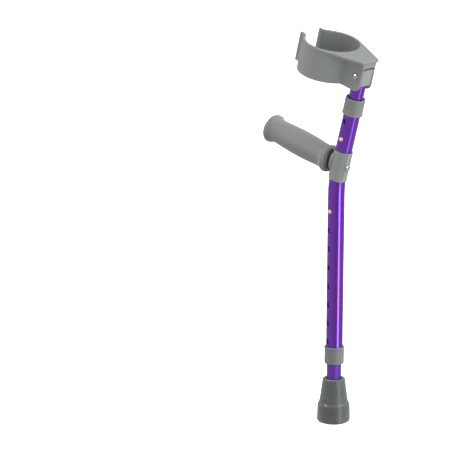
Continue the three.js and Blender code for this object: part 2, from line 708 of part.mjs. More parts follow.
function cuffWall() {
  const bottom = -CUFF_BELOW_PIVOT;
  const top = bottom + CUFF_HEIGHT;
  const lip = lipLine();
  const mirrored = lip.map((point) => new THREE.Vector2(point.x, -point.y));
  return raised(ribbon(armLine(), CUFF_WALL), bottom, top)
    .add(raised(ribbon(lip, CUFF_WALL), bottom + LIP_START, top + LIP_RISE))
    .add(raised(ribbon(mirrored, CUFF_WALL), bottom + LIP_START, top + LIP_RISE));
}

// The flange on top: it spans from a straight rear edge over the hinge to the cuff's sides,
// and fades into the arms at the cuff's widest place.
function cuffFlange() {
  const top = CUFF_HEIGHT - CUFF_BELOW_PIVOT;
  const rear = -(HINGE_REAR + FLANGE_REAR_OVERHANG);
  const half = FLANGE_REAR_HALF_WIDTH;
  const corner = 2.5;
  const shift = -FLANGE_OVERHANG;
  const offset = new THREE.Vector2(
    (rear - CUFF_CENTRE - shift) / CUFF_OUTER.x,
    half / CUFF_OUTER.y,
  );
  const touch = offset.angle() - Math.acos(1 / offset.length());
  const shape = new THREE.Shape();
  shape.moveTo(rear, -(half - corner));
  shape.quadraticCurveTo(rear, -half, rear + corner, -(half + corner * 0.35));
  for (let i = 0; i <= 2 * CUFF_STEPS; i += 1) {
    const place = ellipsePoint(CUFF_OUTER, -touch + (2 * touch * i) / (2 * CUFF_STEPS), shift);
    shape.lineTo(place.x, place.y);
  }
  shape.lineTo(rear + corner, half + corner * 0.35);
  shape.quadraticCurveTo(rear, half, rear, half - corner);
  shape.closePath();
  const plate = raised(shape, top - FLANGE_THICKNESS, top, FLANGE_ROUNDING);
  const reach = 2 * CUFF_WIDTH;
  return plate.intersect(
    box(2 * rear, CUFF_CENTRE + FLANGE_OVERHANG, -reach, reach, top - FLANGE_THICKNESS, top),
  );
}

// The hinge at the back: two cheeks and the wall and roof that join them to the cuff.
function cuffHinge() {
  const bottom = -CUFF_BELOW_PIVOT;
  const roof = CUFF_HEIGHT - CUFF_BELOW_PIVOT - FLANGE_THICKNESS / 2;
  const front = INNER_TUBE_RADIUS + CUFF_SETBACK;
  const profile = new THREE.Shape();
  profile.moveTo(-HINGE_REAR, roof);
  profile.lineTo(-HINGE_REAR, bottom + CHEEK_CORNER);
  profile.absarc(
    -HINGE_REAR + CHEEK_CORNER,
    bottom + CHEEK_CORNER,
    CHEEK_CORNER,
    Math.PI,
    1.5 * Math.PI,
  );
  profile.lineTo(front, bottom);
  profile.lineTo(front, roof);
  profile.closePath();
  const block = raised(profile, -CHEEK_OUTSIDE, CHEEK_OUTSIDE).rotate([90, 0, 0]);
  const swing = Math.sin(PIVOT_SWING);
  const level = Math.cos(PIVOT_SWING);
  const wall = (INNER_TUBE_RADIUS + GAP + CUFF_BELOW_PIVOT * swing) / level;
  const ceiling = PIVOT_BLOCK_TOP * level + HINGE_REAR * swing + GAP;
  return block.subtract(
    box(-2 * HINGE_REAR, wall, -CHEEK_INSIDE, CHEEK_INSIDE, 2 * bottom, ceiling),
  );
}

function cuff() {
  const inside = new THREE.Shape();
  inside.absellipse(CUFF_CENTRE, 0, CUFF_INNER.x, CUFF_INNER.y, 0, 2 * Math.PI);
  const hollow = toSolid(
    new THREE.ExtrudeGeometry(inside, {
      depth: 3 * CUFF_HEIGHT,
      curveSegments: CUFF_STEPS,
      bevelEnabled: false,
    }).translate(0, 0, -1.5 * CUFF_HEIGHT),
  );
  const pinHole = rod(PIVOT_PIN_RADIUS + PIN_GAP, -2 * CHEEK_OUTSIDE, 2 * CHEEK_OUTSIDE, HOLE_SIDES);
  const floor = CHEEK_OUTSIDE - PIVOT_RECESS_DEPTH;
  const recess = rod(PIVOT_RECESS_RADIUS, floor, 2 * CHEEK_OUTSIDE, 24);
  const farRecess = rod(PIVOT_RECESS_RADIUS, -2 * CHEEK_OUTSIDE, -floor, 24);
  const back = cuffFlange().add(cuffHinge()).subtract(hollow);
  return cuffWall()
    .add(back)
    .subtract(alongY(pinHole.add(recess).add(farRecess)));
}

// ---------- The scene ----------

const ANODISED = { color: 0x5a1fa3, roughness: 0.25, metalness: 0.85 };
const PLASTIC = { color: 0x8f9392, roughness: 0.55, metalness: 0 };
const GRIP_RUBBER = { color: 0x929594, roughness: 0.7, metalness: 0 };
const TIP_RUBBER = { color: 0x5f6163, roughness: 0.85, metalness: 0 };
const BLACK_RUBBER = { color: 0x161616, roughness: 0.7, metalness: 0 };
const STEEL = { color: 0xc9cbcd, roughness: 0.25, metalness: 1 };
const BRASS = { color: 0xd9a183, roughness: 0.3, metalness: 0.9 };

function piece(name, solid, material) {
  const mesh = new THREE.Mesh(toGeometry(solid), new THREE.MeshStandardMaterial(material));
  mesh.name = name;
  return mesh;
}

function framed(matrix, ...children) {
  const group = new THREE.Group();
  group.applyMatrix4(matrix);
  group.add(...children);
  return group;
}

// A button's place: a height and a turn about Z.
function buttonPlace(height, turn) {
  return new THREE.Matrix4().makeRotationZ(turn).setPosition(0, 0, height);
}

const leg = [
  piece("rubber_tip", rubberTip(), TIP_RUBBER),
  piece("tip_washer", tipWasher(), STEEL),
  piece("leg_tube", legTube(), ANODISED),
  framed(
    buttonPlace(LEG_BUTTON_Z, LEG_BUTTON_TURN),
    piece("leg_spring", snapSpring(), STEEL),
    piece("leg_button", snapButton(), BRASS),
  ),
];

const body = [
  piece("main_tube", mainTube(), ANODISED),
  piece("grip_bracket", gripBracket(), PLASTIC),
  piece("lower_collar", lowerCollar(), PLASTIC),
  framed(upperFrame, piece("upper_collar", upperCollar(), PLASTIC)),
];

const handle = framed(
  gripFrame,
  piece("grip_spacer", gripSpacer(), BLACK_RUBBER),
  piece("grip_core", gripCore(), PLASTIC),
  piece("hand_grip", handGrip(), GRIP_RUBBER),
  piece("grip_bolt", gripBolt(), STEEL),
  piece("grip_nut", gripNut(), STEEL),
);

const forearm = framed(
  upperFrame,
  piece("cuff_tube", cuffTube(), ANODISED),
  piece("pivot_block", pivotBlock(), PLASTIC),
  framed(
    buttonPlace(CUFF_BUTTON_S, CUFF_BUTTON_TURN),
    piece("cuff_spring", snapSpring(), STEEL),
    piece("cuff_button", snapButton(), BRASS),
  ),
  framed(
    new THREE.Matrix4().makeRotationY(CUFF_TILT).setPosition(0, 0, PIVOT_S),
    piece("cuff", cuff(), PLASTIC),
    piece("pivot_pin", pivotPin(), STEEL),
    piece("pivot_washer", pivotWasher(), STEEL),
  ),
);

const crutch = new THREE.Group();
crutch.add(...leg, ...body, handle, forearm);

export default crutch;
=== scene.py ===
"""Looks of a small forearm crutch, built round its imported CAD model, in metres."""

import json
import math

import bmesh
import bpy
from mathutils import Matrix, Vector


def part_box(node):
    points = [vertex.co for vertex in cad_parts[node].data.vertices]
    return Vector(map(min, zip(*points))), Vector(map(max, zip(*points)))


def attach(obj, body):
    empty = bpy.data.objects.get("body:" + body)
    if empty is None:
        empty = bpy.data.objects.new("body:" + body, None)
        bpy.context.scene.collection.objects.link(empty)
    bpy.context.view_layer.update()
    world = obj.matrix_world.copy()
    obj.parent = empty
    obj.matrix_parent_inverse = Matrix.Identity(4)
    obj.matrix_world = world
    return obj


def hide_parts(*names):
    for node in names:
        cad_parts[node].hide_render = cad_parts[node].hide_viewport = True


MM = 0.001

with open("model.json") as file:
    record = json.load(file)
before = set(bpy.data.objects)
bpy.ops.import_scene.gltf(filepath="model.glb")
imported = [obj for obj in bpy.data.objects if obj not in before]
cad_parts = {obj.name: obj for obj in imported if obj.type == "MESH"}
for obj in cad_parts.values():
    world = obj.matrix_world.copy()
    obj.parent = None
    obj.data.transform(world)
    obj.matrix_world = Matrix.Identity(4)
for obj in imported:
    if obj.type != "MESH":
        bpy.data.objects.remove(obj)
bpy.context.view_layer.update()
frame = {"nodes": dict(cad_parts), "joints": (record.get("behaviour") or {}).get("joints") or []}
joints = {joint["name"]: joint for joint in frame["joints"]}

# ---------- Sizes, in millimetres ----------

GAP = 0.3  # between pieces that fit into each other
SLIDE_GAP = 0.345  # round a tube that slides in another
INNER_RADIUS = 9.525
TUBE_WALL = 1.24
INNER_BORE = INNER_RADIUS - TUBE_WALL
MAIN_BORE = INNER_RADIUS + SLIDE_GAP
MAIN_RADIUS = MAIN_BORE + TUBE_WALL
BEND_RADIUS = 140
HOLE_RADIUS = 3.4
HOLE_PITCH = 25.4
LEG_HOLES = 8
CUFF_HOLES = 2
BUTTON_PLAY = 0.35  # round a button in its hole
BUTTON_PROUD = 2  # how far a button stands out of the main tube
BORE_SKIN = 0.45  # faces of the main tube deeper than this belong to its bore or a hole
BRACKET_START = 4.7
BRACKET_LENGTH = 41.3
GRIP_RISE = math.radians(13.8)
LEG_HOLE_TURN = math.radians(9)
COLLAR_WALL = 1.65
COLLAR_BEAD = 0.5
TIP_WALL = 5.75
TIP_TAPER = 3.75
TIP_RIM_HEIGHT = 23
TIP_RIM_DRAFT = 0.55
TIP_MOUTH_FLARE = 1.7
TIP_FOOT_ROUND = 3.5
TIP_MOUTH_ROUND = 1.8
TIP_FLOOR = 14
TREAD_DEPTH = 1.2
GRIP_BORE = 11.3
GRIP_END_WALL = 8

# ---------- Places, from the frame ----------


def span(node, axis):
    """Where a node's box starts and ends along an axis, in millimetres."""
    low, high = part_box(node)
    return low[axis] / MM, high[axis] / MM


slide = Vector(joints["forearm_slide"]["axis"])
pivot = Vector(joints["cuff_pivot"]["pos_m"]) / MM
LEAN = math.atan2(-slide.x, slide.z)
PIVOT_S = -pivot.x / math.sin(LEAN)
BEND_Z = pivot.z - PIVOT_S * math.cos(LEAN)
BOLT_S = BRACKET_START + BRACKET_LENGTH / 2
MAIN_BOTTOM = span("main_tube", 2)[0]
LEG_BUTTON_Z = sum(span("leg_button", 2)) / 2
LEG_BOTTOM, LEG_TOP = span("leg_tube", 2)

upper = Matrix.Translation((0, 0, BEND_Z * MM)) @ Matrix.Rotation(-LEAN, 4, "Y")
grip_frame = (
    upper
    @ Matrix.Translation((0, 0, BOLT_S * MM))
    @ Matrix.Rotation(LEAN - GRIP_RISE, 4, "Y")
)


def reach(node, place, axis):
    """Where a node starts and ends along an axis of a place's own, in millimetres."""
    back = place.inverted()
    values = [(back @ v.co)[axis] / MM for v in frame["nodes"][node].data.vertices]
    return min(values), max(values)


def along_upper(node):
    """How far a node reaches along the leaning axis from the corner of the bend."""
    return reach(node, upper, 2)


MAIN_TOP = along_upper("main_tube")[1]
CUFF_TUBE_BOTTOM, CUFF_TUBE_TOP = along_upper("cuff_tube")
CUFF_BUTTON_S = sum(along_upper("cuff_button")) / 2

# ---------- Meshes ----------


def shade_smooth(mesh, sharp_angle=None):
    """Shades a mesh smooth, and keeps the edges past an angle in degrees sharp if one is given."""
    for polygon in mesh.polygons:
        polygon.use_smooth = True
    if sharp_angle is not None:
        mesh.set_sharp_from_angle(angle=math.radians(sharp_angle))


def linked(name, data):
    """A new object in the scene round a mesh, a lamp or a camera."""
    piece = bpy.data.objects.new(name, data)
    bpy.context.scene.collection.objects.link(piece)
    return piece


def from_rings(name, rings, closed, smooth_angle=40):
    """A mesh over rings of points. closed joins the last ring to the first."""
    bm = bmesh.new()
    made = [[bm.verts.new(point) for point in ring] for ring in rings]
    count = len(rings)
    for i in range(count if closed else count - 1):
        a, b = made[i], made[(i + 1) % count]
        for j in range(len(a)):
            k = (j + 1) % len(a)
            bm.faces.new((a[j], a[k], b[k], b[j]))
    bmesh.ops.remove_doubles(bm, verts=bm.verts, dist=1e-7)
    bmesh.ops.recalc_face_normals(bm, faces=bm.faces)
    mesh = bpy.data.meshes.new(name)
    bm.to_mesh(mesh)
    bm.free()
    mesh.validate()
    shade_smooth(mesh, smooth_angle)
    return linked(name, mesh)


def lathe(name, profile, place=None, axis="Z", sides=96, smooth_angle=40):
    """A solid of revolution from (radius, height) points in millimetres, round Z, X or Y."""
    turn = {
        "Z": Matrix.Identity(4),
        "X": Matrix.Rotation(math.pi / 2, 4, "Y"),
        "Y": Matrix.Rotation(-math.pi / 2, 4, "X"),
    }[axis]
    matrix = (place or Matrix.Identity(4)) @ turn
    on_axis = profile[0][0] == 0 and profile[-1][0] == 0
    rings = []
    for radius, height in profile:
        ring = []
        for i in range(sides):
            angle = 2 * math.pi * i / sides
            point = Vector((radius * math.cos(angle), radius * math.sin(angle), height)) * MM
            ring.append(matrix @ point)
        rings.append(ring)
    return from_rings(name, rings, not on_axis, smooth_angle)


def smooth_line(points, steps=6):
    """Points on a smooth curve through the given ones (Catmull-Rom, chord length)."""
    line = []
    padded = [points[0]] + list(points) + [points[-1]]
    for i in range(1, len(padded) - 2):
        p0, p1, p2, p3 = (Vector(p) for p in padded[i - 1 : i + 3])
        d = max((p2 - p1).length, 1e-9)
        m1 = (p2 - p0) / max((p2 - p1).length + (p1 - p0).length, 1e-9) * d
        m2 = (p3 - p1) / max((p3 - p2).length + (p2 - p1).length, 1e-9) * d
        for k in range(steps):
            t = k / steps
            h = (
                (2 * t**3 - 3 * t**2 + 1) * p1
                + (t**3 - 2 * t**2 + t) * m1
                + (3 * t**2 - 2 * t**3) * p2
                + (t**3 - t**2) * m2
            )
            line.append((max(h.x, 0), h.y))
    line.append(tuple(points[-1]))
    return line


def tube_stations(bottom, top, steps=24):
    """Places and directions along the main tube's path, each station once."""
    start = BEND_Z - BEND_RADIUS * math.tan(LEAN / 2)
    stations = []
    for i in range(13):
        stations.append((Vector((0, 0, bottom + (start - bottom) * i / 12)), 0))
    for i in range(1, steps + 1):
        turn = LEAN * i / steps
        place = Vector(
            (BEND_RADIUS * (math.cos(turn) - 1), 0, start + BEND_RADIUS * math.sin(turn))
        )
        stations.append((place, turn))
    last = stations[-1][0]
    end = Vector((-math.sin(LEAN), 0, math.cos(LEAN))) * top + Vector((0, 0, BEND_Z))
    for i in range(1, 7):
        stations.append((last.lerp(end, i / 6), LEAN))
    return stations


def ring_at(place, turn, radius, sides):
    """A ring of points in metres round a station of the main tube's path."""
    ring = []
    for i in range(sides):
        angle = 2 * math.pi * i / sides
        offset = Vector((radius * math.cos(angle), radius * math.sin(angle), 0))
        ring.append((place + Matrix.Rotation(-turn, 3, "Y") @ offset) * MM)
    return ring


def pipe(name, stations, outer, inner, sides=128, edge=0.25):
    """A pipe along stations, with its ends' edges broken by a small chamfer."""
    rings = [ring_at(p, t, inner, sides) for p, t in reversed(stations)]
    first, last = stations[0], stations[-1]
    ahead = (stations[1][0] - first[0]).normalized() * edge
    rings.append(ring_at(first[0], first[1], (outer + inner) / 2, sides))
    rings.append(ring_at(first[0], first[1], outer - edge, sides))
    rings.append(ring_at(first[0] + ahead, first[1], outer, sides))
    rings += [ring_at(p, t, outer, sides) for p, t in stations[1:-1]]
    behind = (stations[-2][0] - last[0]).normalized() * edge
    rings.append(ring_at(last[0] + behind, last[1], outer, sides))
    rings.append(ring_at(last[0], last[1], outer - edge, sides))
    return from_rings(name, rings, True)


def straight(bottom, top, steps=8):
    """Stations of a straight upright tube."""
    return [(Vector((0, 0, bottom + (top - bottom) * i / steps)), 0) for i in range(steps + 1)]


def applied(piece):
    """Turns a piece's modifiers into its mesh."""
    bpy.context.view_layer.update()
    depsgraph = bpy.context.evaluated_depsgraph_get()
    mesh = bpy.data.meshes.new_from_object(piece.evaluated_get(depsgraph))
    piece.modifiers.clear()
    piece.data = mesh
    return piece


def drilled(piece, cutters):
    """Cuts round holes with slightly broken edges into a piece."""
    for cutter in cutters:
        modifier = piece.modifiers.new("hole", "BOOLEAN")
        modifier.operation = "DIFFERENCE"
        modifier.solver = "EXACT"
        modifier.object = cutter
    applied(piece)
    for cutter in cutters:
        bpy.data.objects.remove(cutter)
    shade_smooth(piece.data, 35)
    return piece


def hole_cutter(place, radius, inner, outer):
    """A cutter along place's X, flared where it meets the outer radius."""
    profile = [
        (0, inner - 3),
        (radius, inner - 3),
        (radius, outer - 0.35),
        (radius + 0.3, outer + 0.05),
        (radius + 0.5, outer + 3),
        (0, outer + 3),
    ]
    return lathe("cutter", profile, place, "X", 48)


def turned_place(base, height, turn):
    """A place at a height in millimetres along base's Z, turned round it."""
    return base @ Matrix.Translation((0, 0, height * MM)) @ Matrix.Rotation(turn, 4, "Z")


def copied(name, node):
    """A copy of a CAD node's shape under another name, with its doubled points welded."""
    piece = linked(name, frame["nodes"][node].data.copy())
    weld = piece.modifiers.new("weld", "WELD")
    weld.merge_threshold = 1e-6
    return piece


def softened(name, node, voxel, rounds):
    """A copy of a CAD node's shape with its edges softened as moulded plastic's are."""
    piece = copied(name, node)
    remesh = piece.modifiers.new("remesh", "REMESH")
    remesh.mode = "VOXEL"
    remesh.voxel_size = voxel * MM
    smooth = piece.modifiers.new("smooth", "SMOOTH")
    smooth.factor = 0.5
    smooth.iterations = rounds
    applied(piece)
    shade_smooth(piece.data)
    return piece


def bevelled(name, node, width, smooth_angle=40):
    """A copy of a CAD node's shape with its sharp edges rounded."""
    piece = copied(name, node)
    bevel = piece.modifiers.new("bevel", "BEVEL")
    bevel.width = width * MM
    bevel.segments = 3
    bevel.limit_method = "ANGLE"
    bevel.angle_limit = math.radians(35)
    applied(piece)
    shade_smooth(piece.data, smooth_angle)
    return piece


# ---------- Materials ----------


class Nodes:
    """A short way to write a material's nodes."""

    def __init__(self, name):
        self.material = bpy.data.materials.new(name)
        self.material.use_nodes = True
        self.tree = self.material.node_tree
        self.shader = self.tree.nodes["Principled BSDF"]
        self.coordinates = self.add("ShaderNodeTexCoord").outputs["Object"]

    def add(self, kind, **inputs):
        node = self.tree.nodes.new(kind)
        for key, value in inputs.items():
            self.set(node.inputs[key.replace("_", " ")], value)
        return node

    def set(self, socket, value):
        if isinstance(value, bpy.types.NodeSocket):
            self.tree.links.new(value, socket)
        else:
            socket.default_value = value

    def stretched(self, scale, turn=(0, 0, 0)):
        node = self.add("ShaderNodeMapping", Scale=scale, Rotation=turn)
        self.set(node.inputs["Vector"], self.coordinates)
        return node.outputs["Vector"]

    def noise(self, scale, detail=3.0, vector=None, roughness=0.5):
        node = self.add("ShaderNodeTexNoise", Scale=scale, Detail=detail, Roughness=roughness)
        self.set(node.inputs["Vector"], vector or self.coordinates)
        return node.outputs["Fac"]

    def cells(self, scale, vector=None):
        node = self.add("ShaderNodeTexVoronoi", Scale=scale)
        self.set(node.inputs["Vector"], vector or self.coordinates)
        return node.outputs["Distance"]

    def remap(self, value, low, high, to_low, to_high):
        node = self.add("ShaderNodeMapRange")
        for key, item in (
            ("Value", value),
            ("From Min", low),
            ("From Max", high),
            ("To Min", to_low),
            ("To Max", to_high),
        ):
            self.set(node.inputs[key], item)
        return node.outputs["Result"]

    def blend(self, factor, first, second):
        node = self.add("ShaderNodeMix")
        node.data_type = "RGBA"
        self.set(node.inputs[0], factor)
        self.set(node.inputs[6], (*first, 1) if isinstance(first, tuple) else first)
        self.set(node.inputs[7], (*second, 1) if isinstance(second, tuple) else second)
        return node.outputs[2]

    def math(self, operation, first, second=0.0):
        node = self.add("ShaderNodeMath")
        node.operation = operation
        self.set(node.inputs[0], first)
        self.set(node.inputs[1], second)
        return node.outputs[0]

    def bump(self, height, distance, strength=1.0, normal=None):
        node = self.add("ShaderNodeBump", Height=height, Distance=distance, Strength=strength)
        if normal:
            self.set(node.inputs["Normal"], normal)
        return node.outputs["Normal"]

    # Convex edges: partly rubbed wear and partly a painted highlight.
    def worn_and_highlit_edges(self, low=0.52, high=0.62):
        pointiness = self.add("ShaderNodeNewGeometry").outputs["Pointiness"]
        return self.remap(pointiness, low, high, 0.0, 1.0)

    def socket(self, name, value):
        self.set(self.shader.inputs[name], value)


def anodised(name, lean, rough=0.2, gloss=1.0, coat_rough=0.07, lit_share=1.0):
    """Dyed anodised aluminium with faint drawn lines along the tube and small rubbed marks; the
    last argument, below 1, darkens the dyed colour towards black as painted shade.
    """
    n = Nodes(name)
    n.socket("Metallic", 1.0)
    n.socket("Coat Weight", gloss)
    n.socket("Coat IOR", 1.68)
    n.socket("Coat Roughness", coat_rough)
    along = n.stretched((1, 1, 0.012), (0, lean, 0))
    drawn = n.noise(2600, 4, along)
    cloud = n.noise(70, 3)
    rubbed = n.remap(n.noise(900, 6, n.stretched((1, 1, 0.05), (0, lean, 0))), 0.66, 0.74, 0, 1)
    shade = n.blend(cloud, (0.275, 0.03, 0.79), (0.315, 0.042, 0.86))
    lined = n.blend(n.remap(drawn, 0.35, 0.65, 0.0, 0.22), shade, (0.38, 0.08, 0.92))
    dyed = n.blend(n.math("MULTIPLY", rubbed, 0.18), lined, (0.55, 0.3, 0.9))
    # Painted shade: the dyed colour mixed towards near black by the last argument.
    n.socket("Base Color", dyed if lit_share == 1 else n.blend(lit_share, (0.004, 0.001, 0.008), dyed))
    lines = n.remap(drawn, 0.3, 0.7, rough * 0.85, rough * 1.2)
    n.socket("Roughness", n.math("ADD", lines, n.math("MULTIPLY", rubbed, 0.1)))
    n.socket("Normal", n.bump(drawn, 0.000012, 0.5))
    return n.material


def plastic(name, base, rough=0.5, grain=0.00003, grain_scale=1500.0):
    """Moulded grey plastic: fine spark-eroded grain, faint flow clouding, paler edges that are
    partly rubbed wear and partly painted highlight.
    """
    n = Nodes(name)
    dark = tuple(c * 0.93 for c in base)
    pale = tuple(min(c * 1.06, 1) for c in base)
    edge = tuple(min(c * 1.3, 1) for c in base)
    cloud = n.noise(45, 4)
    flow = n.noise(130, 3, n.stretched((1, 1, 0.3)))
    mixed = n.blend(n.math("MULTIPLY", n.math("ADD", cloud, flow), 0.5), dark, pale)
    # Edges up to 1.3 times paler: partly wear and partly painted highlight.
    n.socket("Base Color", n.blend(n.math("MULTIPLY", n.worn_and_highlit_edges(), 0.5), mixed, edge))
    fine = n.noise(grain_scale, 2)
    n.socket("Roughness", n.remap(cloud, 0.3, 0.7, rough - 0.05, rough + 0.06))
    scuffs = n.noise(500, 8, n.stretched((1, 0.2, 0.2), (0.4, 0.3, 0.9)), 0.7)
    first = n.bump(fine, grain, 0.6)
    n.socket("Normal", n.bump(n.remap(scuffs, 0.6, 0.75, 0, 1), 0.00002, 0.3, first))
    n.socket("Specular IOR Level", 0.4)
    return n.material


def soft_vinyl(name, base):
    """Soft grip vinyl: a pebbled grain, slight mottling and a faint sheen."""
    n = Nodes(name)
    dark = tuple(c * 0.9 for c in base)
    pale = tuple(min(c * 1.07, 1) for c in base)
    cloud = n.noise(38, 5, None, 0.6)
    pebble = n.cells(1100)
    n.socket("Base Color", n.blend(cloud, dark, pale))
    n.socket("Roughness", n.remap(cloud, 0.3, 0.7, 0.55, 0.68))
    n.socket("Sheen Weight", 0.15)
    n.socket("Sheen Roughness", 0.5)
    n.socket("Specular IOR Level", 0.35)
    wave = n.bump(n.noise(90, 2), 0.00012, 0.5)
    n.socket("Normal", n.bump(pebble, 0.00006, 0.55, wave))
    return n.material


def tip_rubber(name, base, rough):
    """Dark moulded rubber: faint turning rings, dusty bloom, scuffs towards the ground."""
    n = Nodes(name)
    height = n.add("ShaderNodeSeparateXYZ")
    n.set(height.inputs[0], n.coordinates)
    cloud = n.noise(60, 5, None, 0.6)
    dark = tuple(c * 0.85 for c in base)
    pale = tuple(c * 1.15 for c in base)
    body = n.blend(cloud, dark, pale)
    low = n.remap(height.outputs["Z"], 0.012, 0.0, 0.0, 1.0)
    scuffed = n.math("MULTIPLY", low, n.remap(n.noise(420, 6), 0.5, 0.62, 0, 1))
    n.socket("Base Color", n.blend(n.math("MULTIPLY", scuffed, 0.5), body, (0.28, 0.275, 0.265)))
    n.socket("Roughness", n.remap(cloud, 0.3, 0.7, rough, rough + 0.12))
    rings = n.noise(1.0, 3, n.stretched((25, 25, 900)))
    n.socket("Normal", n.bump(n.noise(1600, 2), 0.00003, 0.5, n.bump(rings, 0.00012, 0.6)))
    n.socket("Specular IOR Level", 0.5)
    n.socket("Sheen Weight", 0.3)
    n.socket("Sheen Roughness", 0.45)
    return n.material


def metal(name, base, rough, scratch=0.00001, scale=900.0, stretch=(1, 1, 1), metallic=1.0):
    """Plated or polished metal with fine scratches and a slightly uneven shine."""
    n = Nodes(name)
    n.socket("Metallic", metallic)
    cloud = n.noise(300, 4)
    dark = tuple(c * 0.88 for c in base)
    n.socket("Base Color", n.blend(cloud, dark, base))
    lines = n.noise(scale, 6, n.stretched(stretch), 0.65)
    n.socket("Roughness", n.remap(lines, 0.3, 0.7, rough * 0.75, rough * 1.35))
    n.socket("Normal", n.bump(lines, scratch, 0.5))
    return n.material


purple_upright = anodised("purple_anodised_upright", 0)
purple_leaning = anodised("purple_anodised_leaning", LEAN)
# Bore and hole walls: the same anodising, painted nearly black as shade where light hardly
# reaches.
purple_bore_painted_shade = anodised("purple_anodised_bore_painted_shade", 0, 0.5, 0.0, 0.5, 0.12)
# Leg tube: the same anodising, rougher, with its colour darkened to 0.72 as painted shade.
purple_satin_painted_shade = anodised("purple_anodised_satin_painted_shade", 0, 0.6, 1.0, 0.55, 0.72)
cuff_plastic = plastic("cuff_plastic", (0.225, 0.231, 0.229), 0.48)
fitting_plastic = plastic("fitting_plastic", (0.19, 0.197, 0.19), 0.42)
bracket_plastic = plastic("bracket_plastic", (0.25, 0.255, 0.25), 0.36)
inner_plastic = plastic("inner_plastic", (0.33, 0.335, 0.33), 0.5)
grip_vinyl = soft_vinyl("grip_vinyl", (0.2, 0.206, 0.204))
tip_material = tip_rubber("tip_rubber", (0.094, 0.098, 0.099), 0.24)
spacer_rubber = tip_rubber("spacer_rubber", (0.018, 0.018, 0.019), 0.45)
bright_steel = metal("bright_steel", (0.82, 0.83, 0.84), 0.13)
spring_steel = metal("spring_steel", (0.6, 0.61, 0.63), 0.3, 0.00001, 700, (1, 1, 0.1))
button_brass = metal("button_brass", (0.95, 0.6, 0.54), 0.3, metallic=0.5)


def dressed(piece, materials, body, slot, *nodes):
    """Gives a piece its materials and its body, and hides the CAD nodes that it stands for; slot
    is not used.
    """
    piece.data.materials.clear()
    for material in materials:
        piece.data.materials.append(material)
    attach(piece, body)
    if nodes:
        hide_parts(*nodes)
    return piece


# ---------- Tubes ----------

cuff_turn = math.pi / 2
leg_turn = cuff_turn - LEG_HOLE_TURN
upright = Matrix.Identity(4)

main_tube = pipe("main_tube_skin", tube_stations(MAIN_BOTTOM, MAIN_TOP), MAIN_RADIUS, MAIN_BORE)
cutters = []
for i in range(LEG_HOLES):
    place = turned_place(upright, LEG_BUTTON_Z - i * HOLE_PITCH, leg_turn)
    cutters.append(hole_cutter(place, HOLE_RADIUS, MAIN_BORE, MAIN_RADIUS))
for i in range(CUFF_HOLES):
    place = turned_place(upper, CUFF_BUTTON_S + i * HOLE_PITCH, cuff_turn)
    cutters.append(hole_cutter(place, HOLE_RADIUS, MAIN_BORE, MAIN_RADIUS))
drilled(main_tube, cutters)
main_finishes = [purple_upright, purple_leaning, purple_bore_painted_shade]
dressed(main_tube, main_finishes, "main", "purple_aluminium", "main_tube")


def from_axis(point):
    """How far a point in metres is from the main tube's bent axis, in millimetres."""
    start = BEND_Z - BEND_RADIUS * math.tan(LEAN / 2)
    x, y, z = point / MM
    turn = math.atan2(z - start, x + BEND_RADIUS)
    if turn < 0:
        return math.hypot(x, y)
    if turn > LEAN:
        local = upper.inverted() @ point
        return math.hypot(local.x, local.y) / MM
    return math.hypot(math.hypot(x + BEND_RADIUS, z - start) - BEND_RADIUS, y)


# Faces in the bore and in the holes' walls take the bore material, whose dark colour is painted
# shade.
for polygon in main_tube.data.polygons:
    polygon.material_index = 1 if polygon.center.z > BEND_Z * MM else 0
    if from_axis(polygon.center) < MAIN_RADIUS - BORE_SKIN:
        polygon.material_index = 2

leg_place = turned_place(upright, LEG_BUTTON_Z, leg_turn)
leg_tube = pipe("leg_tube_skin", straight(LEG_BOTTOM, LEG_TOP), INNER_RADIUS, INNER_BORE)
drilled(leg_tube, [hole_cutter(leg_place, HOLE_RADIUS, INNER_BORE, INNER_RADIUS)])
dressed(leg_tube, [purple_satin_painted_shade], "leg", "purple_aluminium", "leg_tube")

cuff_place = turned_place(upper, CUFF_BUTTON_S, cuff_turn)
cuff_stations = straight(CUFF_TUBE_BOTTOM, CUFF_TUBE_TOP)
cuff_tube = pipe("cuff_tube_skin", cuff_stations, INNER_RADIUS, INNER_BORE)
cuff_tube.data.transform(upper)
drilled(cuff_tube, [hole_cutter(cuff_place, HOLE_RADIUS, INNER_BORE, INNER_RADIUS)])
dressed(cuff_tube, [purple_leaning], "forearm", "purple_aluminium", "cuff_tube")

# ---------- Snap buttons ----------


def button(name, place):
    """A snap button: a round shank nearly out to the main tube's surface, with a domed end."""
    radius = HOLE_RADIUS - BUTTON_PLAY
    inside = INNER_BORE - 1.0
    shank = MAIN_RADIUS - 0.2
    top = MAIN_RADIUS + BUTTON_PROUD
    profile = [(0, inside), (radius - 0.3, inside), (radius, inside + 0.3), (radius, shank)]
    for i in range(1, 13):
        angle = math.pi / 2 * i / 12
        profile.append((radius * math.cos(angle), shank + (top - shank) * math.sin(angle)))
    profile[-1] = (0, top)
    return lathe(name, profile, place, "X", 48)


leg_button = button("leg_button_skin", leg_place)
dressed(leg_button, [button_brass], "leg_snap", "brass", "leg_button")
cuff_button = button("cuff_button_skin", cuff_place)
dressed(cuff_button, [button_brass], "cuff_snap", "brass", "cuff_button")

# ---------- Collars ----------


